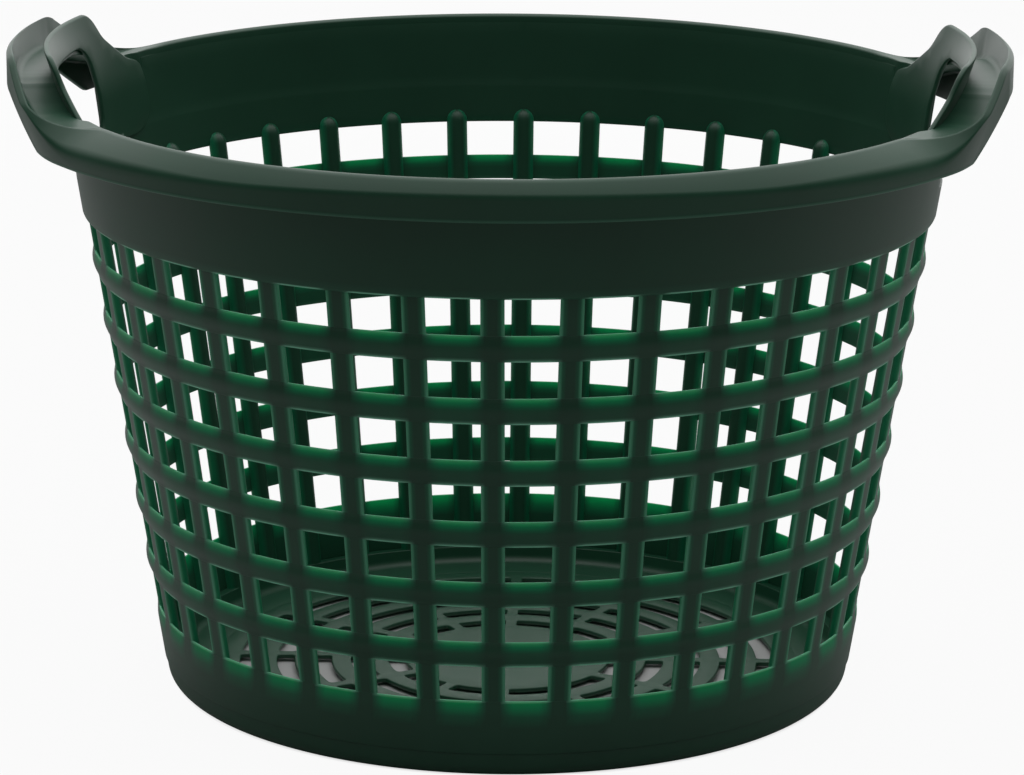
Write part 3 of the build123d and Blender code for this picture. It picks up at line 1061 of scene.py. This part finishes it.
def make_stage_paint():
    """Floor paint with painted shade, darker towards the camera so that it sends less light onto the
    basket's front; the camera sees it white outside the basket's foot.
    """
    material = bpy.data.materials.new("studio_white")
    material.use_nodes = True
    tree = material.node_tree
    tree.nodes.clear()
    place = add_node(tree, "ShaderNodeNewGeometry")
    axes = add_node(tree, "ShaderNodeSeparateXYZ")
    tone = add_node(
        tree,
        "ShaderNodeMapRange",
        {
            "From Min": GROUND_FRONT_PLACE,
            "From Max": GROUND_BACK_PLACE,
            "To Min": GROUND_FRONT,
            "To Max": GROUND_BACK,
        },
    )
    radius = add_node(tree, "ShaderNodeVectorMath", operation="LENGTH")
    outside = add_node(
        tree,
        "ShaderNodeMapRange",
        {"From Min": SHADE_RADIUS, "From Max": WHITE_RADIUS, "To Min": 0.0, "To Max": WHITE_SHARE},
    )
    path = add_node(tree, "ShaderNodeLightPath")
    share = add_node(tree, "ShaderNodeMath", operation="MULTIPLY")
    paint = add_node(tree, "ShaderNodeBsdfDiffuse")
    white = add_node(tree, "ShaderNodeEmission", {"Strength": 1.0})
    blend = add_node(tree, "ShaderNodeMixShader")
    output = add_node(tree, "ShaderNodeOutputMaterial")
    connect(
        tree,
        (place, "Position", axes, "Vector"),
        (axes, "Y", tone, "Value"),
        (tone, "Result", paint, "Color"),
        (place, "Position", radius, 0),
        (radius, "Value", outside, "Value"),
        (path, "Is Camera Ray", share, 0),
        (outside, "Result", share, 1),
        (share, "Value", blend, "Fac"),
        (paint, "BSDF", blend, 1),
        (white, "Emission", blend, 2),
        (blend, "Shader", output, "Surface"),
    )
    return material


def make_ground():
    """Flat studio floor under the basket."""
    mesh = bpy.data.meshes.new("studio_floor")
    ends = ((-1, -1), (1, -1), (1, 1), (-1, 1))
    mesh.from_pydata([(GROUND_REACH * x, GROUND_REACH * y, 0) for x, y in ends], [], [(0, 1, 2, 3)])
    mesh.materials.append(make_stage_paint())
    ground = bpy.data.objects.new("studio_floor", mesh)
    bpy.context.scene.collection.objects.link(ground)


def make_air():
    """Soft dome of light, alike on both sides, brightest above and behind; white to the camera."""
    world = bpy.data.worlds.new("studio")
    bpy.context.scene.world = world
    world.use_nodes = True
    tree = world.node_tree
    tree.nodes.clear()
    place = add_node(tree, "ShaderNodeTexCoord")
    axes = add_node(tree, "ShaderNodeSeparateXYZ")
    side = add_node(tree, "ShaderNodeMath", operation="ABSOLUTE")
    even = add_node(tree, "ShaderNodeCombineXYZ")
    height = add_node(tree, "ShaderNodeVectorMath", {1: AIR_TILT}, operation="DOT_PRODUCT")
    level = add_node(
        tree,
        "ShaderNodeMapRange",
        {"From Min": AIR_LOW_LEVEL, "From Max": AIR_HIGH_LEVEL, "To Min": AIR_LOW, "To Max": AIR_HIGH},
    )
    level.interpolation_type = "SMOOTHSTEP"
    path = add_node(tree, "ShaderNodeLightPath")
    seen = add_node(tree, "ShaderNodeMix", {"B": 1.0})
    air = add_node(tree, "ShaderNodeBackground", {"Color": (1.0, 1.0, 1.0, 1.0)})
    output = add_node(tree, "ShaderNodeOutputWorld")
    connect(
        tree,
        (place, "Generated", axes, "Vector"),
        (axes, "X", side, 0),
        (side, "Value", even, "X"),
        (axes, "Y", even, "Y"),
        (axes, "Z", even, "Z"),
        (even, "Vector", height, 0),
        (height, "Value", level, "Value"),
        (path, "Is Camera Ray", seen, "Factor"),
        (level, "Result", seen, "A"),
        (seen, "Result", air, "Strength"),
        (air, "Background", output, "Surface"),
    )


def softbox(name, place, target, size, power):
    """Rectangular area light that faces a target and is not seen itself."""
    lamp = bpy.data.lights.new(name, "AREA")
    lamp.shape = "RECTANGLE"
    lamp.size, lamp.size_y = size
    lamp.energy = power
    box = bpy.data.objects.new(name, lamp)
    box.location = place
    box.rotation_euler = (Vector(target) - Vector(place)).to_track_quat("-Z", "Y").to_euler()
    box.visible_camera = False
    bpy.context.scene.collection.objects.link(box)


def make_camera():
    """Camera fitted to the photo."""
    camera = bpy.data.cameras.new("photo_camera")
    camera.lens = CAMERA_LENS
    camera.sensor_width = CAMERA_SENSOR
    camera.sensor_fit = "HORIZONTAL"
    camera.clip_end = CAMERA_FAR
    viewer = bpy.data.objects.new("photo_camera", camera)
    viewer.location = CAMERA_PLACE
    yaw = Quaternion((0, 0, 1), math.radians(CAMERA_YAW))
    pitch = Quaternion((1, 0, 0), math.radians(90.0 - CAMERA_PITCH))
    roll = Quaternion((0, 0, 1), math.radians(CAMERA_ROLL))
    viewer.rotation_euler = (yaw @ pitch @ roll).to_euler()
    bpy.context.scene.collection.objects.link(viewer)
    bpy.context.scene.camera = viewer


make_ground()
make_air()
softbox("top_light", place=(0.0, 0.6, 2.2), target=BASKET_MIDDLE, size=(2.4, 1.6), power=4.0)
softbox("back_light", place=(0.0, 2.6, 1.5), target=BASKET_MIDDLE, size=(3.0, 1.4), power=6.0)
softbox("backdrop_light", place=(0.0, 1.8, 0.22), target=WALL_MIDDLE, size=(2.2, 0.4), power=4.0)
make_camera()
bpy.context.scene.view_settings.view_transform = "Standard"
